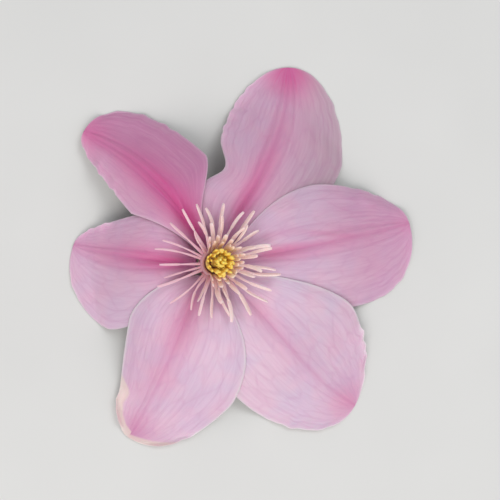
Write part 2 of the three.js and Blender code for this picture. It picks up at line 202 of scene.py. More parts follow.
TEPALS = (
    dict(
        node="tepal_right", azimuths=(9.2, 10.9, 12.5), reach=59.8, arch=6, tip_height=2,
        ccw=side(
            16.9, 0.52, 0.95, 2.1, 1.5, 1, 0.68, curl=-0.6, curl_reach=5, press=0.85, tint_and_shade=0.3,
        ),
        cw=side(19.3, 0.61, 0.94, 2.1, 2.6, -1, 0.7, curl=0.3, tint_and_shade=0.2),
        bar=0.56, bar_width=2.9, bar_reach=0.75, bar_start=13,
        tip_flush=0.15, fold=0.7, claw_shade_and_green=0.15, far=0.4, ribbing=0.6, crease_highlight_and_shadow=1,
    ),
    dict(
        node="tepal_top", azimuths=(67.6, 62.6, 68.4), reach=62.4, arch=6, tip_height=0.1,
        ccw=side(14.8, 0.62, 1.1, 6.5, 2.1, -1, 0.42, curl=0.5, dent=5.2, tint_and_shade=0.4),
        cw=side(
            21.3, 0.64, 0.98, 1.8, 1.15, -1, 0.67, curl=-0.9, curl_reach=3.5, tint_and_shade=0.48, grey_shade=0.65,
        ),
        bar=0.72, bar_width=3.0, bar_reach=0.8, bar_start=13,
        tip_flush=0.9, fold=0.8, claw_shade_and_green=0.35, far=0.05, ribbing=0.8,
    ),
    dict(
        node="tepal_upper_left", azimuths=(120.3, 126, 134), reach=51.6, arch=6, tip_height=3,
        ccw=side(
            10.7, 0.44, 1.2, 1.05, 1.5, 1, 0.52, curl=0.9, curl_reach=2.5, press=0.85, tint_and_shade=0.5,
        ),
        cw=side(15.7, 0.42, 3, 1.8, 3, 1, 0.5, curl=-0.5, curl_reach=4, press=0.85, tint_and_shade=0.95),
        bar=1.0, bar_width=4.4, bar_reach=1.0, bar_start=5,
        tip_flush=0.4, fold=1.5, claw_shade_and_green=0.7, far=0, ribbing=1,
    ),
    dict(
        node="tepal_left", azimuths=(180.2, 176, 171.7), reach=38.6, arch=5, tip_height=0.1,
        ccw=side(20.3, 0.58, 1.15, 1.7, 1.35, -1, 0.8, curl=0.3, tint_and_shade=0.25),
        cw=side(13.3, 0.42, 0.9, 3.2, 1, -1, 0.7, curl=0.9, curl_reach=2.5, tint_and_shade=0.45),
        bar=0.88, bar_width=3.4, bar_reach=0.9, bar_start=5,
        tip_flush=0.1, fold=0.9, claw_shade_and_green=0.65, far=0, ribbing=0.9,
    ),
    dict(
        node="tepal_lower_left", azimuths=(239, 245.4, 244.8), reach=52.9, arch=6, tip_height=0.1,
        ccw=side(
            21.5, 0.585, 0.9, 2.3, 1.25, 1, 0.76, curl=1.7, curl_reach=1.6, press=0.85,
            tint_and_shade=0.1, pale=1.2, hem=1.9, hem_start=0.85,
        ),
        cw=side(
            14.2, 0.36, 1.1, 2.2, 1, 1, 0.68, curl=1.6, curl_reach=3.2, onset=0.2,
            ripple=0.2, bulge=1.2, press=0.85, tint_and_shade=0.22, pale=3, hem=3.1, hem_start=0.66,
        ),
        bar=0.46, bar_width=3.8, bar_reach=0.75, bar_start=9,
        tip_flush=0.4, fold=0.6, claw_shade_and_green=0.45, far=0.1, ribbing=0.5,
    ),
    dict(
        node="tepal_lower_right", azimuths=(314.2, 313.1, 317), reach=57.8, arch=6, tip_height=0.1,
        ccw=side(
            21.7, 0.61, 1.1, 1.7, 1.6, 1, 0.72, curl=1.5, curl_reach=2.4, ripple=0.9, press=0.85,
            tint_and_shade=0.08, pale=1.4,
        ),
        cw=side(20.1, 0.4, 0.98, 2.3, 2.15, -1, 0.64, curl=0.7, ripple=0.35, tint_and_shade=0.0, pale=0.7),
        bar=0.3, bar_width=3.0, bar_reach=0.8, bar_start=14,
        tip_flush=0.4, fold=0.45, claw_shade_and_green=0.1, far=0.08, ribbing=0.25,
    ),
)

# ---------- small helpers ----------


def ease(x):
    t = np.clip(x, 0, 1)
    return t * t * (3 - 2 * t)


def lerp(a, b, t):
    return a + (b - a) * t


def hump(distance, width):
    """1 in the middle and fading either way."""
    return np.exp(-(distance / width) ** 2)


def scatter(k, kind):
    """A repeatable value from -1 to 1 for the kth piece of a kind."""
    raw = math.sin(k * 12.9898 + kind * 78.233) * 43758.5453
    return 2 * (raw - math.floor(raw)) - 1


def srgb(red, green, blue):
    """A colour from 0 to 255 as a shader takes it."""
    values = np.array([red, green, blue]) / 255
    linear = np.where(values <= 0.04045, values / 12.92, ((values + 0.055) / 1.055) ** 2.4)
    return (*linear.tolist(), 1.0)


def unit(vectors):
    return vectors / np.maximum(np.linalg.norm(vectors, axis=-1, keepdims=True), 1e-9)


def heading(azimuth):
    """The level unit vector toward an azimuth in degrees, and the one across it."""
    angle = math.radians(azimuth)
    outward = np.array([math.cos(angle), math.sin(angle), 0.0])
    return outward, np.array([outward[1], -outward[0], 0.0])


def above_floor(height):
    return np.maximum(height, FLOOR_GAP)


# ---------- the common surface of the tepals ----------


def midrib_azimuth(tepal, s):
    base, middle, tip = tepal["azimuths"]
    along = base * (1 - s) * (1 - 2 * s) + 4 * middle * s * (1 - s) + tip * s * (2 * s - 1)
    return np.radians(along)


def along_midrib(tepal, radius):
    return np.clip((radius - CLAW_RADIUS) / (tepal["reach"] - CLAW_RADIUS), 0, 1)


def arch_height(tepal, radius):
    """Height of a tepal's own arch at a plan radius."""
    s = along_midrib(tepal, radius)
    fall = (1 + np.cos(np.pi * s ** 1.3)) / 2
    swell = np.maximum(np.sin(np.pi * s), 0) ** 1.5 * (1 - s) ** 0.6
    return lerp(tepal["tip_height"], CLAW_HEIGHT, fall) + tepal["arch"] * swell


def shared_height(x, y):
    """Height of the surface that all the tepals share, sector by sector between midribs."""
    radius = np.hypot(x, y)
    here = np.arctan2(y, x)
    turn = 2 * np.pi
    height = np.full_like(radius, CLAW_HEIGHT)
    for i, tepal in enumerate(TEPALS):
        following = TEPALS[(i + 1) % len(TEPALS)]
        start = midrib_azimuth(tepal, along_midrib(tepal, radius))
        end = midrib_azimuth(following, along_midrib(following, radius))
        span = (end - start) % turn
        offset = (here - start) % turn
        u = np.clip(offset / span, 0, 1)
        blend = lerp(arch_height(tepal, radius), arch_height(following, radius), ease(u))
        between = (4 * u * (1 - u)) ** SECTOR_SHARPNESS
        fade = 1 - ease((radius - RIDGE_RADIUS) / RIDGE_FALL)
        ridge = RIDGES[i] * ease((radius - CLAW_RADIUS) / RIDGE_RISE) * fade
        sunk = ease((radius - VALLEY_START) / (VALLEY_RADIUS - VALLEY_START))
        raised = blend + between * (ridge - VALLEYS[i] * sunk)
        height = np.where(offset <= span, raised, height)
    swells = np.sin(x / 6.5 + 0.8) * np.sin(y / 8.0 - 0.4) + 0.6 * np.sin(x / 4.1 - y / 5.3)
    return height + SWELL_HEIGHT * swells * ease((radius - SWELL_START) / SWELL_ONSET)


# ---------- tepals ----------


def half_width(rule, s):
    inside = 1 - (1 - np.clip(s / rule["widest"], 0, 1) ** rule["claw"]) ** rule["swell"]
    outside = np.clip((s - rule["widest"]) / (1 - rule["widest"]), 0, 1) ** rule["blunt"]
    dent = rule["dent"] * hump(s - DENT_PLACE, DENT_LENGTH)
    inner = lerp(CLAW_HALF_WIDTH, rule["width"], inside) - dent
    outer = lerp(TIP_HALF_WIDTH, rule["width"], np.sqrt(np.maximum(1 - outside, 0)))
    return np.where(s < rule["widest"], inner, outer)


def by_side(tepal, v, value):
    """A value of the clockwise side where v is below 0, and of the other side elsewhere. value
    is a key of the sides' rules, or works it out from a rule."""
    find = value if callable(value) else lambda rule: rule[value]
    return np.where(v < 0, find(tepal["cw"]), find(tepal["ccw"]))


def midrib_point(tepal, s):
    radius = lerp(CLAW_RADIUS, tepal["reach"], s)
    azimuth = midrib_azimuth(tepal, s)
    return radius * np.cos(azimuth), radius * np.sin(azimuth)


def soft_floor(height):
    """Height held above the surface that the flower lies on, without a crease."""
    lowest, softness = TEPAL_THICKNESS / 2 + 0.03, 0.35
    over = (height - lowest) / softness
    return lowest + softness * np.logaddexp(0, over)


def relief_height(tepal, s, v, across, half):
    """The groove along the midrib, the pleats and side veins beside it, and fine ribs."""
    flank = VEIN_SHARE * half
    aside = np.abs(across)
    fold = tepal["fold"] * hump(across, FOLD_WIDTH) * (1 - 0.75 * ease((s - 0.1) / 0.6))
    grooves = GROOVE_DEPTH * tepal["ribbing"] * hump(aside - flank, GROOVE_WIDTH)
    pleats = PLEAT_HEIGHT * tepal["ribbing"] * hump(aside - flank / 2, PLEAT_WIDTH)
    ribs = RIB_HEIGHT * np.cos(2 * np.pi * RIB_COUNT * v + 3 * np.sin(5 * s)) * ease(half / 12)
    ribs = ribs * (0.6 + 0.4 * np.sin(9 * s + 4 * v))
    return (pleats + ribs - fold - grooves) * ease(s / 0.14) * ease((1 - s) / 0.05)


def tepal_middle(tepal, s, v):
    """The tepal half way through its thickness. s is a column from claw to tip and v a row
    from -1 on the clockwise margin to 1 on the other. Returns the points, and in millimetres
    how far across from the midrib and in from the margin they lie, measured along the blade."""
    x, y = midrib_point(tepal, s)
    x_on, y_on = midrib_point(tepal, s + 0.001)
    x_back, y_back = midrib_point(tepal, s - 0.001)
    along = unit(np.stack([x_on - x_back, y_on - y_back], axis=-1))
    left_x, left_y = -along[..., 1], along[..., 0]

    def here(value):
        return by_side(tepal, v, value)

    # A curled margin keeps the outline, so the blade is longer than its plan there.
    free = ease((s - here("free")) / here("onset")) * ease((1 - s) / 0.06)
    nicks = sum(share * np.sin(s * pace + phase * tepal["reach"]) for share, pace, phase in NICKS)
    half = here(lambda rule: half_width(rule, s)) + free * here("ripple") * nicks
    half = half + here("bulge") * free * hump(s - BULGE_PLACE, BULGE_LENGTH)
    turn = here("curl") * free
    turn = np.where(np.abs(turn) < 1e-4, 1e-4, turn)
    bending = np.minimum(here("curl_reach"), 0.6 * half)
    straight = half - bending * np.sin(np.minimum(np.abs(turn), np.pi / 2)) / np.abs(turn)
    length = straight + bending
    blade = np.abs(v) * length
    margin = length - blade
    turned = turn * np.clip((blade - straight) / bending, 0, 1)
    across = np.sign(v) * (np.minimum(blade, straight) + bending * np.sin(turned) / turn)
    rise = bending * (1 - np.cos(turned)) / turn

    flat = np.sign(v) * np.minimum(np.abs(across), half)
    plan_x, plan_y = x + left_x * flat, y + left_y * flat
    overlap = ease(s / LAYER_START) * ease((1 - s) / LAYER_END)
    layer = here("layer") * LAYER_STEP * v * v * overlap
    press = here("press") * ease((s - 0.04) / 0.14)
    layer = layer * (1 - press * hump(margin, PRESS_REACH))
    wave_share = ease((s - WAVE_START) / WAVE_FADE) * ease((1 - s) / WAVE_FADE) * np.abs(v) ** 3
    wave = WAVE_HEIGHT * wave_share * np.sin(2 * np.pi * WAVE_COUNT * s)
    phase = tepal["reach"] * 1.7 + 2.1 * v
    ripples = sum(share * np.sin(s * pace + times * phase) for share, pace, times in RIPPLES)
    ripple = here("ripple") * np.exp(-margin / RIPPLE_REACH) * free * ripples
    relief = relief_height(tepal, s, v, across, half)

    height = soft_floor(shared_height(plan_x, plan_y) + layer + wave + ripple + relief) + rise
    points = np.stack([x + left_x * across, y + left_y * across, height], axis=-1)
    points[..., 2] = np.maximum(points[..., 2], TEPAL_THICKNESS / 2 + FLOOR_GAP)
    return points, np.sign(v) * blade, margin


def grid_normals(points):
    return unit(np.cross(np.gradient(points, axis=0), np.gradient(points, axis=1)))


def bar_strength(tepal, s, across):
    """How strong the colour along the midrib is, from 0 to 1."""
    width = lerp(BAR_ROOT_WIDTH, tepal["bar_width"], ease(s / 0.35))
    width = width * (1 - BAR_TAPER * ease((s - 0.6) / 0.4))
    glow = (1 - BAR_CORE) * hump(across, BAR_GLOW_WIDTH * width)
    bar = (BAR_CORE * hump(across, width) + glow) * tepal["bar"]
    bar = bar * (1 - BAR_FADE * ease((s - 0.25) / (tepal["bar_reach"] - 0.1)))
    radius = lerp(CLAW_RADIUS, tepal["reach"], s)
    bar = bar * lerp(0.3, 1, ease((radius - tepal["bar_start"] + 4) / 8))
    # A painted highlight stripe and a painted shadow line beside the bar, where a ridge catches the
    # light.
    if tepal.get("crease_highlight_and_shadow"):
        offset = CREASE_OFFSET * (1 - ease((s - 0.3) / 0.4))
        strength, breadth = CREASE_SHADOW_LINE
        shadow_line = strength * hump(across - offset, breadth)
        strength, breadth = CREASE_HIGHLIGHT
        highlight = strength * offset / CREASE_OFFSET * hump(across - offset / 2, breadth)
        extent = ease((s - 0.08) / 0.12) * (1 - ease((s - 0.62) / 0.15))
        bar = np.clip(bar + extent * (shadow_line - highlight), 0, 1)
    flush = tepal["tip_flush"] * ease((s - FLUSH_START) / FLUSH_LENGTH)
    flush = flush * hump(across, FLUSH_WIDTH)
    return 1 - (1 - bar) * (1 - flush)


def hem_strength(tepal, s, v, margin):
    """1 on a side's cream hem, whose width is measured square to the outline."""
    hem = by_side(tepal, v, "hem") * ease((s - by_side(tepal, v, "hem_start")) / HEM_ONSET)
    step = 0.004
    change = by_side(tepal, v, lambda rule: half_width(rule, s + step) - half_width(rule, s - step))
    slope = change / (2 * step * (tepal["reach"] - CLAW_RADIUS))
    inward = margin / np.sqrt(1 + slope ** 2)
    return ease(hem / HEM_SLIMMEST) * (1 - ease(inward - hem + HEM_SOFTNESS))


def tepal_values(tepal, s, v, across, margin):
    """The values that the tepals' material reads at each point of the blade."""
    aside = np.abs(across)
    flank = VEIN_SHARE * (margin + aside)
    loose = ease((s - by_side(tepal, v, "free")) / by_side(tepal, v, "onset"))
    pale = by_side(tepal, v, "pale")
    radius = lerp(CLAW_RADIUS, tepal["reach"], s)
    # How deep each side's colour goes: partly a deeper tint, partly painted shade where a side lies
    # away from the light.
    tint_and_shade = lerp(tepal["cw"]["tint_and_shade"], tepal["ccw"]["tint_and_shade"], ease((v + 0.4) / 0.8))
    return dict(
        along=s,
        aside=v,
        bar=bar_strength(tepal, s, across),
        vein=hump(across, VEIN_MARK_WIDTH)
        + tepal["ribbing"] * hump(aside - flank, VEIN_MARK_WIDTH),
        # A paler margin, partly a painted highlight where the margin curls up to the light.
        rim=np.minimum(pale, 1) * np.exp(-margin / lerp(0.4, 1.0, pale * loose)),
        hem=hem_strength(tepal, s, v, margin),
        # Painted shade that greys a side toward its margin.
        grey_shade=by_side(tepal, v, "grey_shade") * ease(np.abs(v)),
        # Painted shade over the claw of the upper face; on the underside the same value turns the
        # claw green.
        claw=tepal["claw_shade_and_green"] * (1 - ease((radius - CLAW_RADIUS - 1) / 8)),
        # far adds painted shade to the outer half of a tepal.
        tint_and_shade=np.clip(tint_and_shade + tepal["far"] * ease((s - 0.4) / 0.4), 0, 1),
    )


def tepal_mesh(tepal):
    """The closed blade of a tepal, thin at its margins, with its veins raised below."""
    rows, columns = TEPAL_ROWS + 1, TEPAL_COLUMNS + 1
    s = (1 - (1 - np.linspace(0, 1, rows)) ** TIP_CROWDING)[:, None]
    v = np.linspace(-1, 1, columns)[None, :]
    points, across, margin = tepal_middle(tepal, s, v)
    normals = grid_normals(points)
    inner = 1 - np.exp(-margin / MARGIN_ROUNDING)
    half = lerp(MARGIN_THICKNESS, TEPAL_THICKNESS, inner)[..., None] / 2
    flank = VEIN_SHARE * (margin + np.abs(across))
    veins = MIDRIB_HEIGHT * hump(across, MIDRIB_WIDTH)
    veins = veins + VEIN_HEIGHT * hump(np.abs(across) - flank, VEIN_WIDTH)
    upper = points + normals * half
    lower = points - normals * (half + (veins * inner * (1 - VEIN_FADE * s))[..., None])
    lower[..., 2] = above_floor(lower[..., 2])
    upper[..., 2] = np.maximum(upper[..., 2], lower[..., 2] + LEAST_THICKNESS)

    index = np.arange(rows * columns).reshape(rows, columns)
    below = rows * columns
    a, b = index[:-1, :-1], index[1:, :-1]
    c, d = index[1:, 1:], index[:-1, 1:]
    top = np.stack([a, b, c, d], axis=-1).reshape(-1, 4)
    bottom = np.stack([a, d, c, b], axis=-1).reshape(-1, 4) + below
    rim = np.concatenate([index[:-1, 0], index[-1, :-1], index[:0:-1, -1], index[0, :0:-1]])
    after = np.roll(rim, -1)
    wall = np.stack([rim, rim + below, after + below, after], axis=-1)
    faces = np.concatenate([top, bottom, wall])

    values = tepal_values(tepal, np.broadcast_to(s, across.shape), v, across, margin)
    for name, value in values.items():
        values[name] = np.tile(np.broadcast_to(value, across.shape).ravel(), 2)
    values["under"] = np.repeat([0.0, 1.0], below)
    return np.concatenate([upper.reshape(-1, 3), lower.reshape(-1, 3)]), faces, values


# ---------- swept rods ----------

GROOVE_SPAN = 0.4


def grid_walls(index):
    """The faces between the rings of a grid of points, and a face on either end."""
    onward = np.roll(index, -1, axis=1)
    walls = np.stack([index[:-1], onward[:-1], onward[1:], index[1:]], axis=-1).reshape(-1, 4)
    return walls.tolist() + [index[0, ::-1].tolist(), index[-1].tolist()]


def sweep(path, across, half_widths, half_depths, sides, groove=0.0, twist=0.0):
    """A closed rod along a path. across is about level and square to the path. groove dents
    its upper and lower face, as between the two halves of an anther, and twist turns it by
    so many radians from root to tip."""
    path = np.asarray(path, float)
    count = len(path)
    forward = unit(np.gradient(path, axis=0))
    sideways = unit(across - forward * (forward @ across)[:, None])
    upward = np.cross(forward, sideways)
    turned = (twist * np.linspace(0, 1, count))[:, None]
    sideways, upward = (
        sideways * np.cos(turned) + upward * np.sin(turned),
        upward * np.cos(turned) - sideways * np.sin(turned),
    )
    angles = np.linspace(0, 2 * np.pi, sides, endpoint=False)
    groove = np.broadcast_to(groove, (count,))[:, None]
    wide = np.cos(angles)[None, :] * np.asarray(half_widths)[:, None]
    dent = 1 - groove * hump(np.cos(angles), GROOVE_SPAN)[None, :]
    deep = np.sin(angles)[None, :] * np.asarray(half_depths)[:, None] * dent
    points = path[:, None] + sideways[:, None] * wide[..., None] + upward[:, None] * deep[..., None]
    return points.reshape(-1, 3), grid_walls(np.arange(count * sides).reshape(count, sides))


class Bundle:
    """Rods gathered into one mesh, each point with its values for the material."""

    def __init__(self, *names):
        self.points, self.faces = [], []
        self.values = {name: [] for name in names}
        self.count = 0

    def add(self, points, faces, **values):
        self.points.append(points)
        self.faces.extend([[corner + self.count for corner in face] for face in faces])
        self.count += len(points)
        for name, store in self.values.items():
            store.append(np.broadcast_to(values[name], (len(points),)))

    def parts(self):
        joined = {name: np.concatenate(store) for name, store in self.values.items()}
        return np.concatenate(self.points), self.faces, joined


# ---------- stamens and styles ----------

# Whorls from the outermost in. The first three cream ones have the solids' counts and reach.
# The fourth stands close round the golden boss, and the golden whorls and the styles are
# fuller than the solids'. All of them bend more freely.


def whorl(count, arc, root, rise, droop, length, bow=1, wander=1.0, warm=0.0, bent=0.0):
    """count rods that fill an arc of azimuths, with their roots at a radius. rise and droop are
    their elevations in degrees at the root and at the tip, bow puts the bend near the tip, and
    wander scatters bends and lengths. bent is how far the tips lean over the common way, and
    warm is how golden they are."""
    return dict(
        count=count, arc=arc, root=root, rise=rise, droop=droop, length=length,
        bow=bow, wander=wander, warm=warm, bent=bent,
    )


FULL_TURN = (0, 360)
CREAM_WHORLS = (
    whorl(26, FULL_TURN, 3.6, 26, 11, 15.2),
    whorl(15, (-112, 148), 3.5, 52, 38, 12.6, warm=0.1),
    whorl(12, (-100, 130), 3.4, 76, 62, 10.4, wander=0.8, warm=0.3),
    whorl(13, (-110, 140), 3.3, 82, 66, 9.6, bow=3, wander=0.5, warm=0.7, bent=0.5),
)
GOLD_WHORLS = (
    whorl(16, FULL_TURN, 2.3, 87, 65, 9.8, bow=4, wander=0.3, bent=0.6),
    whorl(13, FULL_TURN, 2.16, 88, 81, 10.1, bow=3, wander=0.15, bent=0.75),
)
STYLE_WHORLS = (
    whorl(8, FULL_TURN, 0.72, 88, 80, 9.6, bow=3, wander=0.25, bent=0.8),
    whorl(4, FULL_TURN, 0.3, 88, 84, 10.0, bow=3, wander=0.3, bent=0.8),
)
SILK_WHORLS = (
    whorl(44, FULL_TURN, 1.0, 88, 81, 9.2, bow=3, wander=0.4, bent=0.6),
    whorl(28, FULL_TURN, 0.6, 88, 84, 9.7, bow=2, wander=0.6, bent=0.8),
)
STYLE_RADIUS = 0.48
SILK_RADIUS = 0.15
SILK_SIDES = 5

# Each whorl draws its scatter from its own number, counted from these.
FIRST_CREAM_KIND = 0
FIRST_GOLD_KIND = 4
FIRST_STYLE_KIND = 7

STAMEN_SIDES = 10
STAMEN_STEPS = 20
ANTHER_START = 0.52
ANTHER_ONSET = 0.08
ANTHER_END = 0.14
ANTHER_GROOVE = 0.5

# Root rings: radii inside and outside.
CREAM_RING = (2.95, 4.15)
GOLD_RING = (1.5, 2.6)
STYLE_RING = (0.1, 1.15)
RING_SECTIONS = 48
RING_SIDES = 10
ROOT_SINK = 0.55

# Half-widths and half-depths, and how blunt the tips are.
CREAM_SHAPE = dict(filament=(0.5, 0.24), anther=(0.54, 0.34), stub=0.04)
GOLD_SHAPE = dict(filament=(0.32, 0.22), anther=(0.64, 0.46), stub=0.085)

# Filaments taper between these shares of their width, up to a share of their length.
FILAMENT_TAPER = (1.3, 0.65)
TAPER_END = 0.6

# The tips lean over toward one azimuth, and scatter by degrees and by shares of a length.
COMMON_LEAN = -38
LEAN_START = 0.5
AZIMUTH_SCATTER = 0.3
BEND_SCATTER = 34
SWAY_SCATTER = 9
TILT_SCATTER = 3
LENGTH_SCATTER = 0.07
LENGTH_LOSS = 0.2
STOUTNESS_SCATTER = 0.2
TWIST_SCATTER = 1.1
LEFT_SLIMNESS = 0.4
SEAM = np.sin(np.linspace(0, 2 * np.pi, STAMEN_SIDES, endpoint=False)) ** 4


def rod_path(rule, k, kind, steps):
    """The bent path of the kth rod of a whorl and the level direction across it."""
    first, last = rule["arc"]
    wander = rule["wander"]
    azimuth = first + (last - first) * (k + AZIMUTH_SCATTER * scatter(k, kind)) / rule["count"]
    bend = BEND_SCATTER * wander * scatter(k, kind + 30)
    sway = SWAY_SCATTER * wander * scatter(k, kind + 60)
    tilt = TILT_SCATTER * scatter(k, kind + 10)
    length = rule["length"] * (1 + LENGTH_SCATTER * scatter(k, kind + 20))
    length = length * (1 - LENGTH_LOSS * wander * abs(scatter(k, kind + 70)))
    t = np.linspace(0, 1, steps)
    elevation = lerp(rule["rise"], rule["droop"], t ** rule["bow"]) + tilt
    elevation = elevation + sway * np.sin(2.6 * np.pi * t)
    elevation = np.radians(elevation)
    swing = np.radians(azimuth + bend * t * t + 0.6 * sway * np.sin(2 * np.pi * t))
    stride = length / (steps - 1)
    moves = stride * np.stack([
        np.cos(elevation) * np.cos(swing),
        np.cos(elevation) * np.sin(swing),
        np.sin(elevation),
    ], axis=-1)
    outward, across = heading(azimuth)
    root = outward * rule["root"] + np.array([0, 0, ROOT_BOTTOM + ROOT_SINK])
    path = root + np.concatenate([np.zeros((1, 3)), np.cumsum(moves[:-1], axis=0)])
    leaning, _ = heading(COMMON_LEAN)
    lean = ease((t - LEAN_START) / (1 - LEAN_START)) ** 1.5
    path = path + leaning * rule["bent"] * lean[:, None]
    return path, across, t


def add_stamens(bundle, whorls, first_kind, filament, anther, stub):
    """filament and anther are each a half-width and a half-depth. stub blunts the tips. The
    stamens that point left are slimmer, and shy says how much they do."""
    for kind, rule in enumerate(whorls, first_kind):
        for k in range(rule["count"]):
            path, across, t = rod_path(rule, k, kind, STAMEN_STEPS)
            toward_left = max(0, across[1])
            stout = 1 + STOUTNESS_SCATTER * scatter(k, kind + 80)
            stout = stout * (1 - LEFT_SLIMNESS * toward_left)
            pollen = ease((t - ANTHER_START) / ANTHER_ONSET) * ease((1 + stub - t) / ANTHER_END)
            slim = stout * lerp(*FILAMENT_TAPER, ease(t / TAPER_END))
            wide = lerp(filament[0] * slim, anther[0] * stout, pollen)
            deep = lerp(filament[1] * slim, anther[1] * stout, pollen)
            groove, twist = ANTHER_GROOVE * pollen, TWIST_SCATTER * scatter(k, kind + 90)
            points, faces = sweep(path, across, wide, deep, STAMEN_SIDES, groove, twist)
            bundle.add(
                points, faces,
                anther=np.repeat(pollen, STAMEN_SIDES),
                along=np.repeat(t, STAMEN_SIDES),
                seam=np.tile(SEAM, len(t)),
                tone=scatter(k, kind + 40),
                warm=rule["warm"],
                shy=toward_left,
            )


def add_root_ring(bundle, radii):
    """The ring that a node's roots stand in."""
    inner, outer = radii
    middle, half = (inner + outer) / 2, (outer - inner) / 2
    angles = np.linspace(0, 2 * np.pi, RING_SECTIONS, endpoint=False)
    turns = np.linspace(0, 2 * np.pi, RING_SIDES, endpoint=False)
    centre_height = (ROOT_BOTTOM + ROOT_TOP) / 2
    radius = middle + half * np.cos(turns)[None, :]
    height = centre_height + (ROOT_TOP - ROOT_BOTTOM) / 2 * np.sin(turns)[None, :]
    points = np.stack([
        radius * np.cos(angles)[:, None],
        radius * np.sin(angles)[:, None],
        np.broadcast_to(height, (len(angles), len(turns))),
    ], axis=-1)
    index = np.arange(len(angles) * len(turns)).reshape(len(angles), len(turns))
    onward, upward = np.roll(index, -1, axis=0), np.roll(index, -1, axis=1)
    corner = np.roll(onward, -1, axis=1)
    faces = np.stack([index, onward, corner, upward], axis=-1).reshape(-1, 4).tolist()
    bundle.add(points.reshape(-1, 3), faces, **dict.fromkeys(bundle.values, 0))


def stamen_mesh(ring, whorls, first_kind, shape):
    bundle = Bundle("anther", "along", "seam", "tone", "warm", "shy")
    add_root_ring(bundle, ring)
    add_stamens(bundle, whorls, first_kind, **shape)
    return bundle.parts()


def style_tuft():
    bundle = Bundle("along", "tone")
    add_root_ring(bundle, STYLE_RING)
    rods = [(rule, STYLE_RADIUS, STAMEN_SIDES) for rule in STYLE_WHORLS]
    rods += [(rule, SILK_RADIUS, SILK_SIDES) for rule in SILK_WHORLS]
    for kind, (rule, thickness, sides) in enumerate(rods, FIRST_STYLE_KIND):
        for k in range(rule["count"]):
            path, across, t = rod_path(rule, k, kind, STAMEN_STEPS)
            swelling, tapering = ease(t / 0.7), ease((t - 0.9) / 0.1)
            radius = thickness * lerp(0.55, 1, swelling) * lerp(1, 0.7, tapering)
            points, faces = sweep(path, across, radius, radius, sides)
            bundle.add(points, faces, along=np.repeat(t, sides), tone=scatter(k, kind))
    return bundle.parts()


# ---------- stalk and receptacle ----------

# The receptacle's swelling: rise from the claws' height, and radius.
SWELLING = (
    (STALK_TOP - CLAW_HEIGHT, STALK_DIAMETER / 2 * STALK_TAPER), (-2.6, 2.07), (-1.6, 3.06),
    (-0.8, 4.23), (0, 4.5), (0.9, 4.36), (RECEPTACLE_TOP - CLAW_HEIGHT, 4.05),
)
STALK_SIDES = 48
LYING_STATIONS = 60
BEND_STATIONS = 50
SWELLING_STATIONS = 40
SMOOTHING = 5
STALK_RIBS = 6
RIB_SHARE = 0.05
RIB_END = 105
RIB_FADE = 15
LUMP_SHARE = 0.02
LUMP_PACE = 0.31

# Rings that close the cut end and the receptacle's top: share of the end's radius, and how
# far the ring is set in or out, in steps of CAP_STEP.
CAP_STEP = 0.12
CUT_RINGS = ((0.9, -0.6), (0.72, -1.6), (0.4, -2.2), (0.06, -2.4))
TOP_RINGS = ((0.9, 1), (0.6, 1.4), (0.3, 1.6), (0.06, 1.6))
CUT_CORE = (1, 1, 0.8, 0.3)
BLUSH_START = 11.6
BLUSH_RISE = 0.9

HAIR_COUNT = 700
HAIR_FIRST_STATION = 4
HAIR_STATIONS = 108
HAIR_LENGTH = 0.55
HAIR_SCATTER = 0.3
HAIR_STEPS = (-0.1, 0.5, 1)
HAIR_LEANS = (0.5, 0.3)
HAIR_RADII = (0.03, 0.022, 0.006)
HAIR_SIDES = 3
LOWEST_HAIR = 0.5


def stalk_path():
    """Points along the stalk from its cut end to the receptacle's top, and its radius there."""
    outward, across = heading(STALK_AZIMUTH)
    lie = STALK_DIAMETER / 2 - STALK_FLAT

    def place(along, aside, height):
        return outward * along + across * aside + np.array([0, 0, height])

    t = np.linspace(0, 1, LYING_STATIONS, endpoint=False)[:, None]
    lying = place(0, 0, lie) + outward * lerp(STALK_REACH, STALK_BEND, t)
    lying = lying + across * STALK_SWAY * (1 - t) ** 2
    start, corner = place(STALK_BEND, 0, lie), place(STALK_CORNER, 0, lie)
    end = place(0, 0, STALK_TOP)
    u = np.linspace(0, 1, BEND_STATIONS, endpoint=False)[:, None]
    bend = start * (1 - u) ** 2 + corner * 2 * u * (1 - u) + end * u ** 2
    rises, radii = np.array(SWELLING).T
    rise = np.linspace(rises[0], rises[-1], SWELLING_STATIONS)
    swelling = place(0, 0, CLAW_HEIGHT) + np.stack([0 * rise, 0 * rise, rise], axis=-1)
    path = np.concatenate([lying, bend, swelling])
    radius = np.concatenate([
        np.full(LYING_STATIONS, STALK_DIAMETER / 2),
        STALK_DIAMETER / 2 * lerp(1, STALK_TAPER, u[:, 0]),
        np.interp(rise, rises, radii),
    ])
    padded = np.pad(radius, SMOOTHING // 2, mode="edge")
    return path, np.convolve(padded, np.ones(SMOOTHING) / SMOOTHING, mode="valid"), across


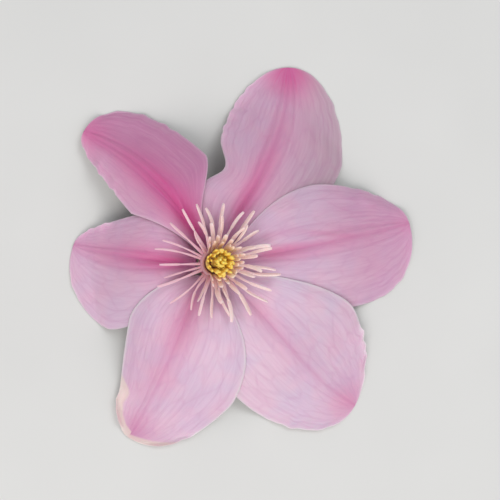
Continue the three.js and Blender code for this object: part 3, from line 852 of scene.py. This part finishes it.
def stalk_mesh():
    path, radius, across = stalk_path()
    count = len(path)
    forward = unit(np.gradient(path, axis=0))
    sideways = unit(across - forward * (forward @ across)[:, None])
    upward = np.cross(forward, sideways)
    angles = np.linspace(0, 2 * np.pi, STALK_SIDES, endpoint=False)
    stations = np.arange(count)[:, None]
    stem = 1 - ease((stations - RIB_END) / RIB_FADE)
    ribs = 1 + RIB_SHARE * stem * np.cos(STALK_RIBS * angles)[None, :]
    lumps = 1 + LUMP_SHARE * np.sin(stations * LUMP_PACE + 2 * angles[None, :])
    length = radius[:, None] * ribs * lumps
    points = path[:, None] + sideways[:, None] * (np.cos(angles) * length)[..., None]
    points = points + upward[:, None] * (np.sin(angles) * length)[..., None]
    outward_of = unit(points - path[:, None])

    def cap(ring, outward, steps):
        centre = ring.mean(axis=0)
        return [centre + (ring - centre) * share + outward * step for share, step in steps]

    cut = cap(points[0], -forward[0] * CAP_STEP, CUT_RINGS)
    top = cap(points[-1], np.array([0, 0, CAP_STEP]), TOP_RINGS)
    rings = np.stack([*cut[::-1], *points, *top])
    rings[..., 2] = above_floor(rings[..., 2])
    total = len(rings)
    faces = grid_walls(np.arange(total * STALK_SIDES).reshape(total, STALK_SIDES))

    no_cut, all_top = np.zeros(len(cut)), np.ones(len(top))
    along = np.concatenate([no_cut, np.linspace(0, 1, count), all_top])
    core = np.concatenate([CUT_CORE, np.zeros(count + len(top))])
    blush = np.concatenate([no_cut, ease((path[:, 2] - BLUSH_START) / BLUSH_RISE), all_top])
    bundle = Bundle("along", "round", "core", "blush")
    bundle.add(
        rings.reshape(-1, 3), faces,
        along=np.repeat(along, STALK_SIDES),
        round=np.tile(np.cos(STALK_RIBS * angles), total),
        core=np.repeat(core, STALK_SIDES),
        blush=np.repeat(blush, STALK_SIDES),
    )
    for k in range(HAIR_COUNT):
        i = int((0.5 + 0.5 * scatter(k, 50)) * HAIR_STATIONS) + HAIR_FIRST_STATION
        j = int((0.5 + 0.5 * scatter(k, 51)) * STALK_SIDES) % STALK_SIDES
        root, out = points[i, j], outward_of[i, j]
        if root[2] < LOWEST_HAIR:
            continue
        lean = forward[i] * HAIR_LEANS[0] * scatter(k, 52)
        lean = lean + sideways[i] * HAIR_LEANS[1] * scatter(k, 53)
        steps = np.array(HAIR_STEPS)[:, None] * (HAIR_LENGTH + HAIR_SCATTER * scatter(k, 54))
        path_of_hair = root + out * steps + lean * steps ** 2
        across_hair = unit(np.cross(out, forward[i]))
        hair_points, hair_faces = sweep(
            path_of_hair, across_hair, HAIR_RADII, HAIR_RADII, HAIR_SIDES,
        )
        hair_points[:, 2] = above_floor(hair_points[:, 2])
        bundle.add(hair_points, hair_faces, along=i / count, round=1, core=-1, blush=0)
    return bundle.parts()


# ---------- materials ----------


class Paint:
    """A node material built by short calls. Sockets and plain values mix freely in them."""

    def __init__(self, name, **settings):
        self.material = bpy.data.materials.new(name)
        self.material.use_nodes = True
        self.nodes = self.material.node_tree.nodes
        self.links = self.material.node_tree.links
        self.shader = self.nodes["Principled BSDF"]
        for key, value in settings.items():
            self.set(key.replace("_", " "), value)

    def set(self, socket, value):
        names = {name.lower(): name for name in self.shader.inputs.keys()}
        self.feed(self.shader.inputs[names[socket.lower()]], value)

    def feed(self, socket, value):
        if isinstance(value, bpy.types.NodeSocket):
            self.links.new(value, socket)
        else:
            socket.default_value = value

    def value(self, name):
        node = self.nodes.new("ShaderNodeAttribute")
        node.attribute_name = name
        return node.outputs["Fac"]

    def math(self, operation, *values):
        node = self.nodes.new("ShaderNodeMath")
        node.operation = operation
        for socket, value in zip(node.inputs, values):
            self.feed(socket, value)
        return node.outputs[0]

    def scaled(self, value, factor):
        return self.math("MULTIPLY", value, factor)

    def vector(self, x, y, z):
        node = self.nodes.new("ShaderNodeCombineXYZ")
        for socket, value in zip(node.inputs, (x, y, z)):
            self.feed(socket, value)
        return node.outputs[0]

    def place(self):
        """Position in the frame, in millimetres."""
        node = self.nodes.new("ShaderNodeTexCoord")
        scale = self.nodes.new("ShaderNodeVectorMath")
        scale.operation = "SCALE"
        scale.inputs["Scale"].default_value = 1 / MM
        self.links.new(node.outputs["Object"], scale.inputs[0])
        return scale.outputs[0]

    def noise(self, where, scale, detail=3.0, roughness=0.55):
        node = self.nodes.new("ShaderNodeTexNoise")
        node.inputs["Scale"].default_value = scale
        node.inputs["Detail"].default_value = detail
        node.inputs["Roughness"].default_value = roughness
        self.links.new(where, node.inputs["Vector"])
        return node.outputs["Fac"]

    def veins(self, where):
        """1 on the lines of an uneven net and 0 between them."""
        node = self.nodes.new("ShaderNodeTexVoronoi")
        node.feature = "DISTANCE_TO_EDGE"
        node.inputs["Scale"].default_value = 1.0
        self.links.new(where, node.inputs["Vector"])
        return self.spread(node.outputs["Distance"], 0.0, 0.09, 1.0, 0.0)

    def spread(self, value, low, high, to_low=0.0, to_high=1.0):
        node = self.nodes.new("ShaderNodeMapRange")
        for socket, number in zip(node.inputs[1:5], (low, high, to_low, to_high)):
            socket.default_value = number
        self.feed(node.inputs[0], value)
        return node.outputs[0]

    def mix(self, share, first, second):
        node = self.nodes.new("ShaderNodeMix")
        node.data_type = "RGBA"
        self.feed(node.inputs["Factor"], share)
        self.feed(node.inputs[6], first)
        self.feed(node.inputs[7], second)
        return node.outputs[2]

    def bump(self, height, depth, strength=1.0):
        """Bump of a height from 0 to 1, depth in millimetres."""
        node = self.nodes.new("ShaderNodeBump")
        node.inputs["Strength"].default_value = strength
        node.inputs["Distance"].default_value = depth * MM
        self.links.new(height, node.inputs["Height"])
        self.links.new(node.outputs[0], self.shader.inputs["Normal"])


FLESH = dict(subsurface_weight=0.1, subsurface_scale=0.6 * MM)
# The deep mauve and the grey below are painted shade, the mauve partly a deeper tint too. The dark
# claw colour is painted shade, and the rim colour is partly a painted highlight.
PETAL_COLOURS = dict(
    lilac=srgb(219, 192, 214), pink=srgb(231, 192, 211), tint_and_shade=srgb(194, 122, 162),
    grey_shade=srgb(166, 142, 148), light_streak=srgb(238, 212, 228), dark_streak=srgb(192, 136, 176),
    bar=srgb(206, 68, 138), vein=srgb(180, 88, 144), net=srgb(186, 104, 158),
    rim=srgb(240, 224, 230), hem=srgb(233, 208, 196), claw=srgb(140, 76, 112),
    back=srgb(214, 196, 200), back_bar=srgb(184, 132, 156), back_vein=srgb(172, 160, 126),
    back_claw=srgb(158, 164, 108),
)


def tepal_paint():
    tones = PETAL_COLOURS
    paint = Paint(
        "tepal", roughness=0.5, subsurface_weight=0.3, subsurface_scale=1.5 * MM,
        sheen_weight=0.15, sheen_roughness=0.5, specular_ior_level=0.35,
    )
    paint.shader.inputs["Subsurface Radius"].default_value = (1.0, 0.5, 0.75)
    along, aside = paint.value("along"), paint.value("aside")
    fan = paint.vector(paint.scaled(aside, 15.0), paint.scaled(along, 2.6), 0.0)
    streaks = paint.noise(fan, 1.4, 5.0, 0.62)
    broad = paint.noise(paint.place(), 0.09, 2.0)
    fine = paint.noise(paint.place(), 2.6, 3.0)

    body = paint.mix(paint.spread(broad, 0.38, 0.62), tones["lilac"], tones["pink"])
    # Painted shade: the deep mauve, partly a deeper tint too, and the grey toward the margin.
    for key in ("tint_and_shade", "grey_shade"):
        body = paint.mix(paint.value(key), body, tones[key])
    body = paint.mix(paint.spread(streaks, 0.35, 0.75, 0.0, 0.22), body, tones["light_streak"])
    body = paint.mix(paint.spread(streaks, 0.55, 0.3, 0.0, 0.2), body, tones["dark_streak"])

    feather = paint.spread(streaks, 0.3, 0.7, 0.7, 1.1)
    bar = paint.math("MULTIPLY", paint.value("bar"), feather)
    body = paint.mix(bar, body, tones["bar"])
    vein = paint.scaled(paint.value("vein"), 0.22)
    body = paint.mix(vein, body, tones["vein"])
    net = paint.veins(paint.vector(paint.scaled(aside, 7.0), paint.scaled(along, 6.0), 0.0))
    body = paint.mix(paint.scaled(net, 0.12), body, tones["net"])
    # The rim colour is partly a painted highlight.
    body = paint.mix(paint.value("rim"), body, tones["rim"])
    body = paint.mix(paint.scaled(paint.value("hem"), 0.72), body, tones["hem"])
    # Painted shade over the claw.
    body = paint.mix(paint.value("claw"), body, tones["claw"])

    back = paint.mix(bar, tones["back"], tones["back_bar"])
    back = paint.mix(paint.scaled(vein, 2.2), back, tones["back_vein"])
    back = paint.mix(paint.scaled(paint.value("claw"), 0.7), back, tones["back_claw"])
    paint.set("Base Color", paint.mix(paint.value("under"), body, back))
    grain = paint.math("ADD", paint.scaled(streaks, 0.8), paint.scaled(fine, 0.35))
    grain = paint.math("SUBTRACT", grain, paint.scaled(net, 0.25))
    paint.bump(grain, 0.08, 0.7)
    return paint.material


def stamen_paint(name, root, filament, anther, anther_dark, seam, pale, golden, blush):
    paint = Paint(name, roughness=0.55, **FLESH)
    grain = paint.noise(paint.place(), 3.4, 3.0)
    stem = paint.mix(paint.spread(paint.value("along"), 0.0, 0.45), root, filament)
    stem = paint.mix(paint.scaled(paint.value("seam"), 0.3), stem, seam)
    pollen = paint.mix(paint.spread(grain, 0.35, 0.65), anther_dark, anther)
    pollen = paint.mix(paint.scaled(paint.value("seam"), 0.6), pollen, seam)
    colour = paint.mix(paint.value("anther"), stem, pollen)
    colour = paint.mix(paint.spread(paint.value("tone"), -1.0, 1.0, 0.0, 0.35), colour, pale)
    colour = paint.mix(paint.scaled(paint.value("warm"), 0.8), colour, golden)
    colour = paint.mix(paint.scaled(paint.value("shy"), 0.7), colour, blush)
    paint.set("Base Color", colour)
    paint.bump(grain, 0.12, 0.8)
    return paint.material


def style_paint():
    paint = Paint("style", roughness=0.5, **FLESH)
    silk = paint.noise(paint.place(), 4.0, 2.0)
    lightness = paint.spread(paint.value("tone"), -1.0, 1.0)
    tip = paint.mix(lightness, srgb(255, 212, 66), srgb(255, 228, 100))
    colour = paint.mix(paint.value("along"), srgb(240, 196, 84), tip)
    colour = paint.mix(paint.spread(silk, 0.4, 0.7, 0.0, 0.5), colour, srgb(255, 238, 170))
    paint.set("Base Color", colour)
    paint.bump(silk, 0.08, 0.8)
    return paint.material


def stalk_paint():
    paint = Paint("stalk", roughness=0.5, **FLESH)
    along = paint.value("along")
    mottle = paint.noise(paint.place(), 0.7, 4.0)
    grown = paint.vector(paint.scaled(along, 9.0), paint.value("round"), 0.0)
    fibre = paint.noise(grown, 2.2, 4.0)
    green = paint.mix(paint.spread(mottle, 0.35, 0.65), srgb(112, 134, 70), srgb(146, 160, 92))
    green = paint.mix(paint.spread(along, 0.55, 0.9), green, srgb(176, 190, 126))
    brown = paint.spread(paint.math("ADD", paint.value("round"), fibre), 0.9, 1.7, 0.0, 0.6)
    colour = paint.mix(brown, green, srgb(134, 98, 76))
    colour = paint.mix(paint.spread(paint.value("core"), 0.0, 1.0), colour, srgb(214, 216, 168))
    colour = paint.mix(paint.spread(paint.value("core"), 0.0, -1.0), colour, srgb(226, 226, 200))
    colour = paint.mix(paint.value("blush"), colour, srgb(168, 100, 116))
    paint.set("Base Color", colour)
    paint.bump(fibre, 0.15, 0.8)
    return paint.material


# ---------- pieces ----------


def frame_shift(tepal_parts):
    """Where the flower's axis stands in the frame: the solids' tepals against the same tepals
    drawn here round the axis."""
    drawn, placed = [], []
    for tepal, (points, _, _) in zip(TEPALS, tepal_parts):
        low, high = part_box(tepal["node"])
        drawn.append((points.min(axis=0) + points.max(axis=0)) / 2)
        placed.append((np.array(low) + np.array(high)) / 2 / MM)
    shift = np.mean(np.array(placed) - np.array(drawn), axis=0)
    return np.array([shift[0], shift[1], 0.0])


def make_piece(name, node, parts, paint, shift):
    points, faces, values = parts
    mesh = bpy.data.meshes.new(name)
    faces = faces.tolist() if isinstance(faces, np.ndarray) else faces
    mesh.from_pydata(((points + shift) * MM).tolist(), [], faces)
    mesh.shade_smooth()
    for key, numbers in values.items():
        layer = mesh.attributes.new(key, "FLOAT", "POINT")
        layer.data.foreach_set("value", np.asarray(numbers, np.float32).ravel())
    mesh.materials.append(paint)
    piece = bpy.data.objects.new(name, mesh)
    bpy.context.scene.collection.objects.link(piece)
    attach(piece, "root")
    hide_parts(node)


tepal_parts = [tepal_mesh(tepal) for tepal in TEPALS]
shift = frame_shift(tepal_parts)
petal_look = tepal_paint()
for tepal, parts in zip(TEPALS, tepal_parts):
    name = tepal["node"].replace("tepal", "petal")
    make_piece(name, tepal["node"], parts, petal_look, shift)

cream_look = stamen_paint(
    "cream_stamen", root=srgb(184, 114, 130), filament=srgb(252, 220, 222),
    anther=srgb(255, 236, 228), anther_dark=srgb(246, 212, 204), seam=srgb(228, 172, 176),
    pale=srgb(255, 240, 240), golden=srgb(250, 214, 164), blush=srgb(232, 174, 198),
)
gold_look = stamen_paint(
    "gold_stamen", root=srgb(242, 196, 116), filament=srgb(252, 216, 110),
    anther=srgb(255, 226, 96), anther_dark=srgb(255, 204, 62), seam=srgb(252, 190, 60),
    pale=srgb(255, 238, 150), golden=srgb(250, 214, 164), blush=srgb(255, 216, 90),
)
cream = stamen_mesh(CREAM_RING, CREAM_WHORLS, FIRST_CREAM_KIND, CREAM_SHAPE)
gold = stamen_mesh(GOLD_RING, GOLD_WHORLS, FIRST_GOLD_KIND, GOLD_SHAPE)
make_piece("filaments_cream", "stamens_outer", cream, cream_look, shift)
make_piece("anthers_gold", "stamens_inner", gold, gold_look, shift)
make_piece("pistil_tuft", "styles", style_tuft(), style_paint(), shift)
make_piece("stem_and_receptacle", "stalk", stalk_mesh(), stalk_paint(), shift)

# ---------- floor, light and camera ----------

# In metres, but the lens and sensor are in millimetres. The camera looks down and leans by so
# many degrees.
FLOOR_SIZE = 2.0
VIEW_LEAN_RIGHT = 8.5
VIEW_LEAN_UP = 4.5
VIEW_WIDTH = 0.138
LENS = 90.0
SENSOR = 36.0
SKY_COLOUR = (0.93, 0.96, 1.0, 1.0)
SKY_STRENGTH = 0.55
LIGHT_TARGET = Vector((0, 0, 0.01))

# Lights: azimuth and elevation in degrees, distance, size, power and colour.
LIGHTS = dict(
    key=(250, 46, 0.9, 0.8, 4.1, (1.0, 0.97, 0.94)),
    fill=(50, 58, 1.0, 0.6, 2.4, (0.98, 0.98, 1.0)),
)


def floor_paint():
    paint = Paint("floor", roughness=0.75, specular_ior_level=0.3)
    cloud = paint.noise(paint.place(), 0.02, 2.0)
    paint.set("Base Color", paint.mix(cloud, srgb(216, 215, 212), srgb(224, 223, 220)))
    return paint.material


def make_floor():
    half = FLOOR_SIZE / 2
    mesh = bpy.data.meshes.new("floor")
    corners = [(-half, -half, 0), (half, -half, 0), (half, half, 0), (-half, half, 0)]
    mesh.from_pydata(corners, [], [(0, 1, 2, 3)])
    mesh.materials.append(floor_paint())
    floor = bpy.data.objects.new("floor", mesh)
    bpy.context.scene.collection.objects.link(floor)


def aim(obj, place, target, up):
    """Puts a camera or light at a place, looking at a target."""
    back = (place - target).normalized()
    right = up.cross(back).normalized()
    rotation = Matrix((right, back.cross(right), back)).transposed()
    obj.matrix_world = Matrix.Translation(place) @ rotation.to_4x4()


def make_light(name, azimuth, elevation, distance, size, power, colour):
    data = bpy.data.lights.new(name, "AREA")
    data.shape = "DISK"
    data.size = size
    data.energy = power
    data.color = colour
    light = bpy.data.objects.new(name, data)
    bpy.context.scene.collection.objects.link(light)
    turn, lift = math.radians(azimuth), math.radians(elevation)
    reach = math.cos(lift)
    away = Vector((math.cos(turn) * reach, math.sin(turn) * reach, math.sin(lift)))
    aim(light, away * distance, LIGHT_TARGET, Vector((0, 0, 1)))


def make_camera():
    data = bpy.data.cameras.new("camera")
    data.lens = LENS
    data.sensor_width = SENSOR
    data.clip_start = 0.01
    camera = bpy.data.objects.new("camera", data)
    bpy.context.scene.collection.objects.link(camera)
    right, up = math.sin(math.radians(VIEW_LEAN_RIGHT)), math.sin(math.radians(VIEW_LEAN_UP))
    toward = Vector((-right, -up, math.sqrt(1 - right * right - up * up)))
    low, high = cad_bounds
    middle = (Vector(low) + Vector(high)) / 2
    aim(camera, middle + toward * VIEW_WIDTH * LENS / SENSOR, middle, Vector((0, 1, 0)))
    bpy.context.scene.camera = camera


def make_world():
    world = bpy.data.worlds.new("studio")
    world.use_nodes = True
    background = world.node_tree.nodes["Background"]
    background.inputs["Color"].default_value = SKY_COLOUR
    background.inputs["Strength"].default_value = SKY_STRENGTH
    bpy.context.scene.world = world


make_floor()
make_world()
for name, settings in LIGHTS.items():
    make_light(name, *settings)
make_camera()
bpy.context.scene.view_settings.view_transform = "Standard"
